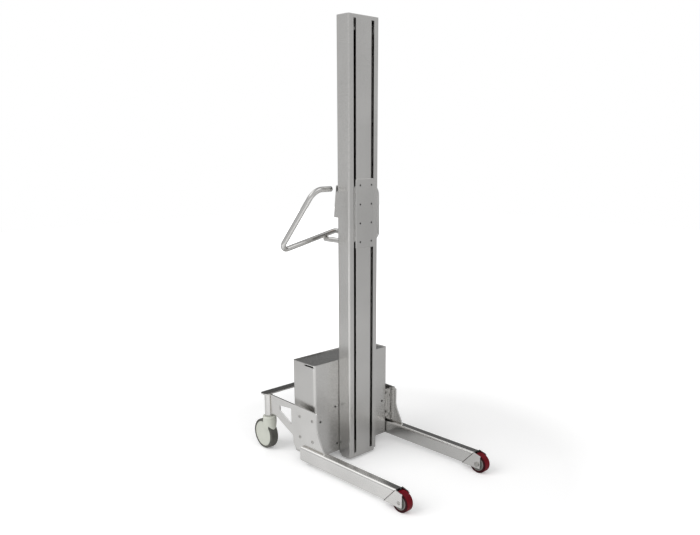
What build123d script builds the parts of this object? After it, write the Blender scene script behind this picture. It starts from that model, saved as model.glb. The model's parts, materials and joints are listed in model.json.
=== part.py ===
from build123d import *
import os
from math import atan2, cos, degrees, floor, radians, sin, sqrt, tan

# Stainless lifting trolley: a folded mast on a battery housing, two low legs, two swivel castors.
# X is across the trolley, +X to the operator's right; -Y is the load side; Z is up from the floor.
# The origin is on the floor, under the middle of the trolley's length and width.
# Left-hand pieces are drawn and the right-hand ones are their mirror images.

# Mast, a folded profile with two slots in its front, closed between them by a cover strip
mast_front = 19.3
mast_width = 150.0
mast_depth = 63.0
mast_wall = 2.5
mast_bend = 6.0
mast_base = 20.0
mast_top = 1659.0
lip_width = 24.0
slot_width = 13.0
cap_thickness = 3.0
cap_apron = 10.0
foot_thickness = 12.0
foot_inset = 3.0
cover_wall = 3.0
cover_rib = 9.0
cover_rib_half = 25.5

# Guide rails and the rollers that run in them
rail_wall = 3.0
rail_end_gap = 10.0
guide_gap = 0.3
roller_width = 14.0
roller_axle = 12.0
running_clearance = 0.05

# Carriage, drawn at the height that it has in use at waist level
carriage_z = 978.0
carriage_height = 253.0
carriage_width = 92.0
carriage_plate = 6.0
carriage_gap = 0.6
cheek_wall = 7.0
cheek_height = 207.0
roller_spacing = 167.0
truck_height = 147.0
truck_wall = 4.0
tool_hole = 6.8
tool_columns = 58.0
tool_rows = 69.0
tool_offset = 5.5

# Lifting chain on two sprockets with their axes fore and aft
chain_pitch = 12.7
chain_roller = 8.5
chain_inner_width = 7.75
chain_plate_wall = 3.2
chain_plate_height = 11.8
sprocket_teeth = 14
sprocket_z = 97.0
idler_drop = 70.0
chain_ahead = 28.0
shaft_diameter = 20.0
idler_pin = 15.0

# Battery housing behind the mast's foot
housing_width = 400.0
housing_depth = 129.0
housing_base = 30.0
housing_top = 412.0
housing_wall = 2.0
housing_bend = 9.0
lid_drop = 3.0
lid_gap = 0.3
lid_skirt = 12.0
lid_notch_start = 3.0
lid_notch_length = 56.0
lid_notch_height = 7.0
lid_notch_drop = 3.0

# Legs, nose plates and load rollers
hanger_width = 19.0
leg_width = 40.0
leg_height = 60.0
leg_wall = 3.0
leg_corner = 10.0
leg_base = 21.0
leg_rear = 108.0
load_axle_ahead = 417.0
nose_tip_ahead = 15.0
nose_seam_behind = 17.0
nose_seam_run = 54.0
nose_seam_gap = 1.2
nose_drop = 8.0
load_roller = 75.0
load_roller_width = 30.0
load_hub = 54.0
load_bolt = 12.0

# Side plates that join the legs, the housing and the rear stems
plate_wall = 6.0
plate_top = 234.5
plate_front = 27.0
plate_toe = 12.0
plate_toe_rise = 75.0
plate_rear = 170.0
plate_foot = 56.0
plate_rise = 8.0
plate_web_low = 106.0
plate_arm_root = 278.0
plate_arm_low = 160.0
plate_toe_bend = 80.0
window_front = 198.0
window_rear = 271.5
window_low = 149.0
window_high = 216.5
chassis_bolt = 8.0
bolt_clearance = 0.4
bolt_behind_front = 25.8
bolt_ahead_rear = 43.0
bolt_above_leg = 31.4
bolt_below_top = 36.5
bracket_wall = 3.0
bracket_ahead = 12.5
bracket_above = 24.0

# Rear stems, crossbar and swivel castors
stem_behind = 328.0
stem_diameter = 33.7
stem_wall = 2.6
stem_base = 151.0
bar_z = 244.0
bar_thickness = 5.0
bar_width = 40.0
bar_overhang = 28.0
castor_wheel = 125.0
castor_tread = 38.0
castor_core = 25.0
castor_hub = 92.0
castor_trail = 25.0
castor_angle = 3.0
castor_cheek = 53.0
castor_cheek_wall = 3.0
castor_column = 28.0
castor_column_shift = 4.0
castor_hood_base = 92.0
castor_hood_flare = 28.0
castor_groove = 1.5
castor_groove_drop = 10.0
castor_side_gap = 1.5
castor_axle = 10.0
castor_pin = 12.0
collar_height = 3.0
collar_radius = 17.0

# Push handle and control box on the back of the mast
handle_tube_diameter = 20.0
handle_tilt = 22.0
handle_top_z = 1067.0
handle_top_behind = 28.0
handle_gap = 84.0
handle_upper = 159.7
handle_lower = 260.0
handle_lower_z = 841.0
handle_middle_z = 902.0
handle_arm_spacing = 90.0
handle_arm_diameter = 20.0
handle_arm_drop = 18.0
handle_bracket_wall = 5.0
control_half = 66.0
control_low_z = 962.0
control_high_z = 1080.0
control_low_depth = 34.0
control_high_depth = 20.5
control_wall = 3.0
button_diameter = 18.0
button_travel = 2.5
stop_diameter = 30.0
stop_travel = 4.0

# Worked-out places
mast_back = mast_front + mast_depth
mast_middle = mast_front + mast_depth / 2
mast_shell_top = mast_top - cap_thickness
slot_base = mast_base + cap_apron
slot_top = mast_shell_top - cap_apron
slot_outer = mast_width / 2 - lip_width
slot_inner = slot_outer - slot_width
slot_middle = (slot_outer + slot_inner) / 2
mast_inner_side = mast_width / 2 - mast_wall
rail_track = mast_depth - 2 * mast_wall - 2 * rail_wall
guide_roller_diameter = rail_track - 2 * guide_gap
cheek_inner = slot_middle - cheek_wall / 2
cheek_outer = slot_middle + cheek_wall / 2
plate_back_face = mast_front - carriage_gap
chain_y = mast_front + chain_ahead
chain_run = floor((mast_top - idler_drop - sprocket_z) / chain_pitch)
idler_z = sprocket_z + chain_run * chain_pitch
sprocket_pitch_radius = chain_pitch / (2 * sin(radians(180 / sprocket_teeth)))
housing_front = mast_back
housing_back = housing_front + housing_depth
plate_inner = housing_width / 2 + hanger_width
plate_outer = plate_inner + plate_wall
leg_centre = plate_inner + plate_wall / 2
leg_top = leg_base + leg_height
nose_tip = load_axle_ahead + nose_tip_ahead
nose_seam_high = load_axle_ahead - nose_seam_behind
nose_seam_low = nose_seam_high - nose_seam_run
bar_length = 2 * (leg_centre + bar_overhang)
stem_y = mast_front + stem_behind
control_tilt = degrees(atan2(control_low_depth - control_high_depth, control_high_z - control_low_z))


def write_piece(piece, label):
    piece.part.label = label
    export_step(piece.part, f"parts/{label}.step")


def write_pair(left, label):
    with BuildPart() as right:
        add(mirror(left.part, about=Plane.YZ))
    write_piece(left, f"{label}_left")
    write_piece(right, f"{label}_right")


def flange_bolt(shank, grip, head, head_height, nut_height):
    # A button-headed bolt along Z: its head stands above Z 0, its nut lies below the grip
    with BuildPart() as bolt:
        with BuildSketch():
            Circle(head / 2)
        extrude(amount=head_height)
        fillet(bolt.faces().sort_by(Axis.Z)[-1].edges(), head_height * 0.6)
        with BuildSketch():
            Circle(shank / 2)
        extrude(amount=-(grip + nut_height))
        if nut_height > 0:
            with BuildSketch(Plane.XY.offset(-grip)):
                RegularPolygon(shank * 0.9, 6)
            extrude(amount=-nut_height)
    return bolt.part


os.makedirs("parts", exist_ok=True)

# Mast profile, with the openings for the drive shaft and the fixing bolts in its back
mast_bolt = 8.0
mast_bolt_half = 30.0
mast_bolt_heights = (161.0, 361.0)
shaft_opening = 34.0
bracket_screw = 6.0
bracket_screw_half = 22.0
run_z = handle_middle_z - (handle_middle_z - handle_lower_z) * handle_arm_spacing / 2 / handle_lower
arm_z = run_z - handle_arm_drop
bracket_heights = (arm_z - 16, arm_z + 16)
mast_bolt_places = [(x, z) for x in (-mast_bolt_half, mast_bolt_half) for z in mast_bolt_heights]
bracket_screw_places = [(x, z) for x in (-bracket_screw_half, bracket_screw_half) for z in bracket_heights]

with BuildPart() as mast_shell:
    with BuildSketch(Plane.XY.offset(mast_base)):
        with Locations((0, mast_middle)):
            RectangleRounded(mast_width, mast_depth, mast_bend)
            RectangleRounded(
                mast_width - 2 * mast_wall, mast_depth - 2 * mast_wall, mast_bend - mast_wall, mode=Mode.SUBTRACT
            )
        with Locations((0, mast_front)):
            Rectangle(2 * slot_outer, 4 * mast_wall, mode=Mode.SUBTRACT)
    extrude(amount=mast_shell_top - mast_base)
    with BuildSketch(Plane.XZ.offset(-mast_back)):
        with Locations((0, sprocket_z)):
            Circle(shaft_opening / 2)
        with Locations(*mast_bolt_places):
            Circle((mast_bolt + bolt_clearance) / 2)
        with Locations(*bracket_screw_places):
            Circle((bracket_screw + bolt_clearance) / 2)
    extrude(amount=2 * mast_wall, both=True, mode=Mode.SUBTRACT)
write_piece(mast_shell, "mast_shell")

# Cover strip between the slots, stiffened by two ribs on its back
with BuildPart() as mast_cover:
    with BuildSketch(Plane.XY.offset(slot_base)):
        with Locations((0, mast_front)):
            Rectangle(2 * slot_inner, cover_wall, align=(Align.CENTER, Align.MIN))
        with Locations((-cover_rib_half, mast_front + cover_wall), (cover_rib_half, mast_front + cover_wall)):
            Rectangle(cover_wall, cover_rib, align=(Align.CENTER, Align.MIN))
    extrude(amount=slot_top - slot_base)
    cover_corners = mast_cover.edges().filter_by(Axis.Z).group_by(Axis.Y)[0]
    fillet(cover_corners, cover_wall * 0.4)
write_piece(mast_cover, "mast_cover_strip")

# Top cap, whose apron bridges the slots and holds the strip's upper end
with BuildPart() as mast_cap:
    with BuildSketch(Plane.XY.offset(mast_shell_top)):
        with Locations((0, mast_middle)):
            RectangleRounded(mast_width, mast_depth, mast_bend)
    extrude(amount=cap_thickness)
    fillet(mast_cap.faces().sort_by(Axis.Z)[-1].edges(), cap_thickness / 3)
    with BuildSketch(Plane.XY.offset(mast_shell_top)):
        with Locations((0, mast_front)):
            Rectangle(2 * slot_outer, mast_wall, align=(Align.CENTER, Align.MIN))
    extrude(amount=-cap_apron)
write_piece(mast_cap, "mast_top_cap")

# Foot, an inset plate under the profile with an apron below the slots
with BuildPart() as mast_foot:
    with BuildSketch(Plane.XY.offset(mast_base)):
        with Locations((0, mast_middle)):
            RectangleRounded(mast_width - 2 * foot_inset, mast_depth - 2 * foot_inset, 2 * mast_bend)
    extrude(amount=-foot_thickness)
    with BuildSketch(Plane.XY.offset(mast_base)):
        with Locations((0, mast_front)):
            Rectangle(2 * slot_outer, foot_inset + mast_wall, align=(Align.CENTER, Align.MIN))
    extrude(amount=cap_apron)
write_piece(mast_foot, "mast_foot")

# Guide rails, channels that lie against the mast's sides and open towards its middle
rail_channel = mast_inner_side - slot_outer
with BuildPart() as guide_rail:
    with BuildSketch(Plane.XY.offset(slot_base)):
        with Locations((-mast_inner_side, mast_middle)):
            Rectangle(rail_channel, mast_depth - 2 * mast_wall, align=(Align.MIN, Align.CENTER))
        with Locations((-mast_inner_side + rail_wall, mast_middle)):
            Rectangle(rail_channel, rail_track, align=(Align.MIN, Align.CENTER), mode=Mode.SUBTRACT)
    extrude(amount=slot_top - slot_base - rail_end_gap)
    fillet(guide_rail.edges().filter_by(Axis.Z).group_by(Axis.X)[0], mast_bend - mast_wall)
write_pair(guide_rail, "guide_rail")

# Carriage truck: two cheeks that reach out through the slots, joined by a web behind the chain
cheek_back = mast_back - mast_wall - 8.0
web_front = chain_y + 12.0
stub_collar = 20.0
stub_collar_length = 4.2
with BuildPart() as truck:
    with BuildSketch(Plane.YZ.offset(-cheek_outer)) as cheek_outline:
        with Locations(((plate_back_face + cheek_back) / 2, carriage_z)):
            RectangleRounded(cheek_back - plate_back_face, cheek_height, cheek_wall)
    extrude(amount=cheek_wall)
    with BuildSketch(Plane.YZ.offset(cheek_inner)):
        add(cheek_outline.sketch_local)
    extrude(amount=cheek_wall)
    with BuildSketch(Plane.XZ.offset(-web_front)):
        with Locations((0, carriage_z)):
            Rectangle(2 * cheek_inner, truck_height)
            Rectangle(cheek_inner, truck_height / 3, mode=Mode.SUBTRACT)
    extrude(amount=-truck_wall)
    for side in (-1, 1):
        with BuildSketch(Plane.YZ.offset(side * cheek_outer)):
            with Locations((mast_middle, carriage_z - roller_spacing / 2), (mast_middle, carriage_z + roller_spacing / 2)):
                Circle(stub_collar / 2)
        extrude(amount=side * stub_collar_length)
        with BuildSketch(Plane.YZ.offset(side * (cheek_outer + stub_collar_length))):
            with Locations((mast_middle, carriage_z - roller_spacing / 2), (mast_middle, carriage_z + roller_spacing / 2)):
                Circle(roller_axle / 2)
        extrude(amount=side * (roller_width + 2 * guide_gap))
write_piece(truck, "carriage_truck")

# Retaining washers on the ends of the roller stubs
roller_inner = cheek_outer + stub_collar_length + guide_gap
with BuildPart() as stub_washers:
    for side in (-1, 1):
        with BuildSketch(Plane.YZ.offset(side * (roller_inner + roller_width + guide_gap))):
            with Locations((mast_middle, carriage_z - roller_spacing / 2), (mast_middle, carriage_z + roller_spacing / 2)):
                Circle(stub_collar / 2)
        extrude(amount=side * 1.5)
write_piece(stub_washers, "carriage_roller_washers")

# Guide rollers with rounded treads
for side, side_name in ((-1, "left"), (1, "right")):
    for height, height_name in ((-1, "lower"), (1, "upper")):
        roller_z = carriage_z + height * roller_spacing / 2
        with BuildPart() as guide_roller:
            with BuildSketch(Plane.YZ.offset(side * roller_inner)):
                with Locations((mast_middle, roller_z)):
                    Circle(guide_roller_diameter / 2)
                    Circle(roller_axle / 2 + running_clearance, mode=Mode.SUBTRACT)
            extrude(amount=side * roller_width)
            rims = guide_roller.edges().filter_by(GeomType.CIRCLE).sort_by(SortBy.RADIUS)[-2:]
            fillet(rims, roller_width / 7)
        write_piece(guide_roller, f"guide_roller_{height_name}_{side_name}")

# Tool plate with two columns of four tapped holes
with BuildPart() as tool_plate:
    with BuildSketch(Plane.XZ.offset(-plate_back_face)):
        with Locations((0, carriage_z)):
            RectangleRounded(carriage_width, carriage_height, 3.0)
        with Locations((tool_offset, carriage_z)):
            with GridLocations(tool_columns, tool_rows, 2, 4):
                Circle(tool_hole / 2, mode=Mode.SUBTRACT)
    extrude(amount=carriage_plate)
    chamfer(tool_plate.faces().sort_by(Axis.Y)[0].outer_wire().edges(), 0.6)
write_piece(tool_plate, "tool_plate")

# Lifting chain: the inner and outer plates of one endless strand, as a band each side of the sprockets
chain_radius = sprocket_pitch_radius
chain_half = chain_inner_width / 2
with BuildPart() as chain:
    for side in (-1, 1):
        with BuildSketch(Plane.XZ.offset(-(chain_y + side * chain_half))):
            with Locations((0, (sprocket_z + idler_z) / 2)):
                SlotCenterToCenter(idler_z - sprocket_z, 2 * chain_radius + chain_plate_height, rotation=90)
                SlotCenterToCenter(
                    idler_z - sprocket_z, 2 * chain_radius - chain_plate_height, rotation=90, mode=Mode.SUBTRACT
                )
        extrude(amount=-side * chain_plate_wall)
write_piece(chain, "lifting_chain")

# Anchor block that grips the left-hand strand and bolts to the truck's web
anchor_height = 60.0
anchor_clearance = 0.35
chain_outer_half = chain_half + chain_plate_wall
with BuildPart() as chain_anchor:
    with BuildSketch(Plane.XY.offset(carriage_z + truck_height / 2 - anchor_height)):
        with Locations((-chain_radius, web_front)):
            Rectangle(
                chain_plate_height + 2 * anchor_clearance + 4, 2 * (web_front - chain_y), align=(Align.CENTER, Align.MAX)
            )
        with Locations((-chain_radius, chain_y)):
            Rectangle(
                chain_plate_height + 2 * anchor_clearance,
                2 * (chain_outer_half + anchor_clearance),
                mode=Mode.SUBTRACT,
            )
    extrude(amount=anchor_height)
write_piece(chain_anchor, "chain_anchor")

# Sprockets: a tooth disc whose gaps seat the chain's rollers, and a turned hub
tooth_width = chain_inner_width - 0.55
tip_radius = chain_pitch * (0.55 + 1 / tan(radians(180 / sprocket_teeth))) / 2
seat_radius = chain_roller / 2 + 0.15


def tooth_disc(axis_z):
    # The disc lies in the chain's plane, and each gap is a roller's seat that opens towards the tips
    with BuildPart() as disc:
        with BuildSketch(Plane.XZ.offset(-chain_y)):
            with Locations((0, axis_z)):
                Circle(tip_radius)
                with PolarLocations(sprocket_pitch_radius, sprocket_teeth):
                    Circle(seat_radius, mode=Mode.SUBTRACT)
                    Trapezoid(
                        chain_pitch - 1,
                        tip_radius - sprocket_pitch_radius + 0.5,
                        65,
                        rotation=90,
                        align=(Align.CENTER, Align.MAX),
                        mode=Mode.SUBTRACT,
                    )
        extrude(amount=tooth_width / 2, both=True)
    return disc.part


hub_diameter = 40.0
hub_length = 15.0
with BuildPart() as idler_sprocket:
    add(tooth_disc(idler_z))
    with BuildSketch(Plane.XZ.offset(-chain_y)):
        with Locations((0, idler_z)):
            Circle(hub_diameter / 2)
    extrude(amount=hub_length / 2, both=True)
    with BuildSketch(Plane.XZ.offset(-chain_y)):
        with Locations((0, idler_z)):
            Circle(idler_pin / 2 + running_clearance)
    extrude(amount=hub_length, both=True, mode=Mode.SUBTRACT)
write_piece(idler_sprocket, "idler_sprocket")

with BuildPart() as drive_sprocket:
    add(tooth_disc(sprocket_z))
    with BuildSketch(Plane.XZ.offset(-chain_y)):
        with Locations((0, sprocket_z)):
            Circle(hub_diameter / 2)
    extrude(amount=-hub_length)
    with BuildSketch(Plane.XZ.offset(-chain_y)):
        with Locations((0, sprocket_z)):
            Circle(shaft_diameter / 2)
    extrude(amount=2 * hub_length, both=True, mode=Mode.SUBTRACT)
write_piece(drive_sprocket, "drive_sprocket")

# Idler pin on a plate that seats on the inside of the mast's back
idler_plate_wall = 5.0
mast_inner_back = mast_back - mast_wall
with BuildPart() as idler_axle:
    with BuildSketch(Plane.XZ.offset(-mast_inner_back)):
        with Locations((0, idler_z)):
            RectangleRounded(70, 90, 6)
    extrude(amount=idler_plate_wall)
    with BuildSketch(Plane.XZ.offset(-(mast_inner_back - idler_plate_wall))):
        with Locations((0, idler_z)):
            Circle(hub_diameter / 4)
    extrude(amount=mast_inner_back - idler_plate_wall - chain_y - hub_length / 2 - guide_gap)
    with BuildSketch(Plane.XZ.offset(-(mast_inner_back - idler_plate_wall))):
        with Locations((0, idler_z)):
            Circle(idler_pin / 2)
    extrude(amount=mast_inner_back - idler_plate_wall - chain_y + hub_length / 2 + guide_gap)
    with BuildSketch(Plane.XZ.offset(-(chain_y - hub_length / 2 - guide_gap))):
        with Locations((0, idler_z)):
            Circle(hub_diameter / 4)
    extrude(amount=2)
write_piece(idler_axle, "idler_axle")

# Drive shaft, from the sprocket back through the mast into the gearbox
gearbox_depth = 58.0
shaft_front = chain_y - tooth_width / 2 - 4
shaft_back = housing_front + housing_wall + gearbox_depth - 4
with BuildPart() as drive_shaft:
    with BuildSketch(Plane.XZ.offset(-shaft_front)):
        with Locations((0, sprocket_z)):
            Circle(shaft_diameter / 2)
    extrude(amount=-(shaft_back - shaft_front))
    chamfer(drive_shaft.edges().filter_by(GeomType.CIRCLE), 1.0)
write_piece(drive_shaft, "drive_shaft")

# Worm gear motor inside the housing: the box on the front wall, the motor standing on it
gearbox_width = 78.0
gearbox_height = 92.0
motor_diameter = 78.0
motor_length = 150.0
gearbox_front = housing_front + housing_wall
gearbox_middle = gearbox_front + gearbox_depth / 2
with BuildPart() as gear_motor:
    with BuildSketch(Plane.XY.offset(sprocket_z - gearbox_height / 2)):
        with Locations((0, gearbox_middle)):
            RectangleRounded(gearbox_width, gearbox_depth, 6)
    extrude(amount=gearbox_height)
    with BuildSketch(Plane.XY.offset(sprocket_z + gearbox_height / 2)):
        with Locations((0, gearbox_front + motor_diameter / 2 + 2)):
            Circle(motor_diameter / 2)
    extrude(amount=motor_length)
    fillet(gear_motor.faces().sort_by(Axis.Z)[-1].edges(), 6)
    with BuildSketch(Plane.XZ.offset(-gearbox_front)):
        with Locations((0, sprocket_z)):
            Circle(shaft_diameter / 2 + running_clearance)
    extrude(amount=-gearbox_depth, mode=Mode.SUBTRACT)
write_piece(gear_motor, "gear_motor")

# Housing: folded walls and floor, open at the top, with the lid's grip notch in each side
housing_middle = housing_front + housing_depth / 2
inlet_x = 120.0
inlet_z = 336.0
inlet_diameter = 28.0
bolt_front = mast_front + plate_front + bolt_behind_front
bolt_rear = mast_front + plate_rear - bolt_ahead_rear
bolt_low = leg_top + bolt_above_leg
bolt_high = plate_top - bolt_below_top
bolt_middle = (bolt_low + bolt_high) / 2
plate_bolt_places = [(y, z) for y in (bolt_front, bolt_rear) for z in (bolt_low, bolt_high)]
hanger_bolt_places = [(y, bolt_middle) for y in (housing_front + 2 * housing_bend, bolt_rear)]
bracket_front = bolt_front - bracket_ahead
bracket_rear = bolt_rear + bracket_ahead
bracket_low = leg_top + bracket_above / 2
bracket_high = bolt_high + bracket_above
cover_screw = 5.0
front_screw_places = [(94.0, 222.0), (86.0, 63.0), (173.0, 178.0)]
with BuildPart() as housing:
    with BuildSketch(Plane.XY.offset(housing_base)):
        with Locations((0, housing_middle)):
            RectangleRounded(housing_width, housing_depth, housing_bend)
    extrude(amount=housing_top - housing_base)
    with BuildSketch(Plane.XY.offset(housing_base + housing_wall)):
        with Locations((0, housing_middle)):
            RectangleRounded(
                housing_width - 2 * housing_wall, housing_depth - 2 * housing_wall, housing_bend - housing_wall
            )
    extrude(amount=housing_top - housing_base, mode=Mode.SUBTRACT)
    with BuildSketch(Plane.XZ.offset(-housing_front)):
        with Locations((0, sprocket_z)):
            Circle(shaft_opening / 2)
        with Locations(*mast_bolt_places):
            Circle((mast_bolt + bolt_clearance) / 2)
        with Locations(*front_screw_places, *[(-x, z) for x, z in front_screw_places]):
            Circle(cover_screw / 2 + 0.1)
    extrude(amount=2 * housing_wall, both=True, mode=Mode.SUBTRACT)
    with BuildSketch(Plane.XZ.offset(-housing_back)):
        with Locations((inlet_x, inlet_z)):
            Circle(inlet_diameter / 2)
    extrude(amount=2 * housing_wall, both=True, mode=Mode.SUBTRACT)
    with BuildSketch(Plane.YZ):
        with Locations((housing_front + lid_notch_start, housing_top - lid_notch_drop)):
            Rectangle(lid_notch_length, lid_notch_height, align=(Align.MIN, Align.MAX))
        with Locations(*hanger_bolt_places):
            Circle((chassis_bolt + bolt_clearance) / 2)
    extrude(amount=housing_width, both=True, mode=Mode.SUBTRACT)
write_piece(housing, "housing_shell")

# Lid, a tray that sits inside the rim
lid_width = housing_width - 2 * housing_wall - 2 * lid_gap
lid_depth = housing_depth - 2 * housing_wall - 2 * lid_gap
lid_corner = housing_bend - housing_wall - lid_gap
with BuildPart() as lid:
    with BuildSketch(Plane.XY.offset(housing_top - lid_drop)):
        with Locations((0, housing_middle)):
            RectangleRounded(lid_width, lid_depth, lid_corner)
    extrude(amount=-lid_skirt)
    with BuildSketch(Plane.XY.offset(housing_top - lid_drop - housing_wall)):
        with Locations((0, housing_middle)):
            RectangleRounded(lid_width - 2 * housing_wall, lid_depth - 2 * housing_wall, lid_corner - housing_wall)
    extrude(amount=-lid_skirt, mode=Mode.SUBTRACT)
    with BuildSketch(Plane.YZ):
        with Locations((housing_front + housing_bend, housing_top - lid_drop - housing_wall)):
            Rectangle(lid_notch_length - housing_bend, lid_skirt, align=(Align.MIN, Align.MAX))
    extrude(amount=housing_width, both=True, mode=Mode.SUBTRACT)
write_piece(lid, "housing_lid")

# Two sealed batteries on the housing floor, one each side of the gearbox
battery_depth = 99.0
battery_height = 95.0
battery_gap = 2.0
battery_length = housing_width / 2 - housing_wall - gearbox_width / 2 - 4 * battery_gap
with BuildPart() as batteries:
    for side in (-1, 1):
        with BuildSketch(Plane.XY.offset(housing_base + housing_wall)):
            with Locations((side * (gearbox_width / 2 + 2 * battery_gap + battery_length / 2), housing_middle)):
                Rectangle(battery_length, battery_depth)
        extrude(amount=battery_height)
write_piece(batteries, "batteries")

# Motor controller on the rear wall, in a finned case
controller_width = 110.0
controller_height = 80.0
controller_depth = 32.0
controller_x = -110.0
controller_z = 266.0
with BuildPart() as controller:
    with BuildSketch(Plane.XZ.offset(-(housing_back - housing_wall))):
        with Locations((controller_x, controller_z)):
            RectangleRounded(controller_width, controller_height, 4)
    extrude(amount=controller_depth)
    with BuildSketch(Plane.XZ.offset(-(housing_back - housing_wall - controller_depth))):
        with Locations((controller_x, controller_z)):
            with GridLocations(controller_width / 8, 1, 7, 1):
                Rectangle(controller_width / 16, controller_height)
    extrude(amount=-controller_depth / 3, mode=Mode.SUBTRACT)
write_piece(controller, "motor_controller")

# Charging inlet through the rear wall
with BuildPart() as inlet:
    with BuildSketch(Plane.XZ.offset(-housing_back)):
        with Locations((inlet_x, inlet_z)):
            Circle(inlet_diameter / 2 + 4)
    extrude(amount=-3)
    with BuildSketch(Plane.XZ.offset(-housing_back)):
        with Locations((inlet_x, inlet_z)):
            Circle(inlet_diameter / 2 - 0.2)
    extrude(amount=16)
    with BuildSketch(Plane.XZ.offset(-(housing_back + 3))):
        with Locations((inlet_x, inlet_z)):
            Circle(inlet_diameter / 2 - 4)
    extrude(amount=14, mode=Mode.SUBTRACT)
write_piece(inlet, "charging_inlet")

# Side plates: one laser-cut outline from the leg up past the housing and back to the stem
arm_end = stem_behind - stem_diameter / 2 - 0.02
window_corners = [
    (window_front, window_low),
    (window_rear, window_low + (window_high - window_low) * 0.58),
    (window_rear, window_high - 6),
    (window_front, window_high),
]
with BuildPart() as side_plate:
    with BuildSketch(Plane.YZ.offset(-leg_centre - plate_wall / 2)):
        with BuildLine():
            Polyline(
                (mast_front - plate_toe, leg_top),
                (mast_front + plate_front, leg_top + plate_toe_rise),
                (mast_front + plate_front, plate_top),
                (mast_front + arm_end, plate_top + plate_rise),
                (mast_front + arm_end, plate_arm_low),
                (mast_front + plate_arm_root, plate_arm_low),
                (mast_front + plate_rear, plate_web_low),
                (mast_front + plate_rear, plate_foot),
                (mast_front + leg_rear, plate_foot),
                (mast_front + leg_rear, leg_top),
                close=True,
            )
        make_face()
        with Locations((mast_front, 0)):
            with BuildLine():
                Polyline(*window_corners, close=True)
            make_face(mode=Mode.SUBTRACT)
        with Locations(*plate_bolt_places):
            Circle((chassis_bolt + bolt_clearance) / 2, mode=Mode.SUBTRACT)
    extrude(amount=plate_wall)
    upright = side_plate.edges().filter_by(Axis.X)
    front_corner = upright.sort_by_distance((-leg_centre, mast_front + plate_front, plate_top))[0]
    rear_corner = upright.sort_by_distance((-leg_centre, mast_front + plate_rear, plate_foot))[0]
    toe_corner = upright.sort_by_distance((-leg_centre, mast_front + plate_front, leg_top + plate_toe_rise))[0]
    fillet(front_corner, 12)
    fillet(rear_corner, 28)
    fillet(toe_corner, plate_toe_bend)
write_pair(side_plate, "side_plate")

# Hangers, channels that fill the gap between each side plate and the housing
with BuildPart() as hanger:
    with BuildSketch(Plane.XZ.offset(-bracket_rear)):
        with Locations((-housing_width / 2, bracket_low)):
            Rectangle(hanger_width, bracket_high - bracket_low, align=(Align.MAX, Align.MIN))
        with Locations((-housing_width / 2 - bracket_wall, bracket_low + bracket_wall)):
            Rectangle(
                hanger_width - 2 * bracket_wall,
                bracket_high - bracket_low,
                align=(Align.MAX, Align.MIN),
                mode=Mode.SUBTRACT,
            )
    extrude(amount=bracket_rear - bracket_front)
    with BuildSketch(Plane.XY.offset(bracket_low + bracket_wall)):
        with Locations((-housing_width / 2, bracket_front)):
            Rectangle(
                hanger_width - bracket_wall, housing_front + housing_bend - bracket_front, align=(Align.MAX, Align.MIN)
            )
    extrude(amount=bracket_high, mode=Mode.SUBTRACT)
    with BuildSketch(Plane.YZ):
        with Locations(*plate_bolt_places):
            Circle((chassis_bolt + bolt_clearance) / 2)
    extrude(amount=-housing_width, mode=Mode.SUBTRACT)
    with BuildSketch(Plane.YZ.offset(-housing_width / 2)):
        with Locations(*hanger_bolt_places):
            Circle((chassis_bolt + bolt_clearance) / 2)
    extrude(amount=-2 * bracket_wall, mode=Mode.SUBTRACT)
with BuildPart() as hangers:
    add(hanger.part)
    add(mirror(hanger.part, about=Plane.YZ))
write_piece(hangers, "hanger_brackets")

# Legs: rectangular tube with a welded rear cap, cut to a slope at the nose
with BuildPart() as leg:
    with BuildSketch(Plane.XZ.offset(-(mast_front + leg_rear))):
        with Locations((-leg_centre, leg_base + leg_height / 2)):
            RectangleRounded(leg_width, leg_height, leg_corner)
    extrude(amount=leg_rear + nose_seam_high + nose_tip_ahead)
    with BuildSketch(Plane.XZ.offset(-(mast_front + leg_rear - leg_wall))):
        with Locations((-leg_centre, leg_base + leg_height / 2)):
            RectangleRounded(leg_width - 2 * leg_wall, leg_height - 2 * leg_wall, leg_corner - leg_wall)
    extrude(amount=leg_rear + nose_seam_high + nose_tip_ahead, mode=Mode.SUBTRACT)
    with BuildSketch(Plane.YZ.offset(-leg_centre - leg_width)):
        with BuildLine():
            Polyline(
                (mast_front - nose_seam_low, leg_base),
                (mast_front - nose_seam_high, leg_top),
                (mast_front - nose_seam_high, leg_top + leg_wall),
                (mast_front - nose_seam_high - leg_width, leg_top + leg_wall),
                (mast_front - nose_seam_high - leg_width, leg_base - leg_wall),
                (mast_front - nose_seam_low, leg_base - leg_wall),
                close=True,
            )
        make_face()
    extrude(amount=2 * leg_width, mode=Mode.SUBTRACT)
write_pair(leg, "leg_tube")

# Nose plates, a pair on each leg, with the load roller's axle hole
with BuildPart() as nose:
    with BuildSketch(Plane.YZ.offset(-leg_centre - leg_width / 2)) as nose_outline:
        with BuildLine():
            Polyline(
                (mast_front - nose_seam_low - nose_seam_gap, leg_base),
                (mast_front - nose_seam_high - nose_seam_gap, leg_top),
                (mast_front - nose_tip, leg_top - nose_drop),
                (mast_front - nose_tip, leg_base),
                close=True,
            )
        make_face()
        fillet(nose_outline.vertices().group_by(Axis.X)[0], 5)
        with Locations((mast_front - load_axle_ahead, load_roller / 2)):
            Circle(load_bolt / 2 + 0.1, mode=Mode.SUBTRACT)
    extrude(amount=leg_wall)
    with BuildSketch(Plane.YZ.offset(-leg_centre + leg_width / 2 - leg_wall)):
        add(nose_outline.sketch_local)
    extrude(amount=leg_wall)
write_pair(nose, "nose_plates")

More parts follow.
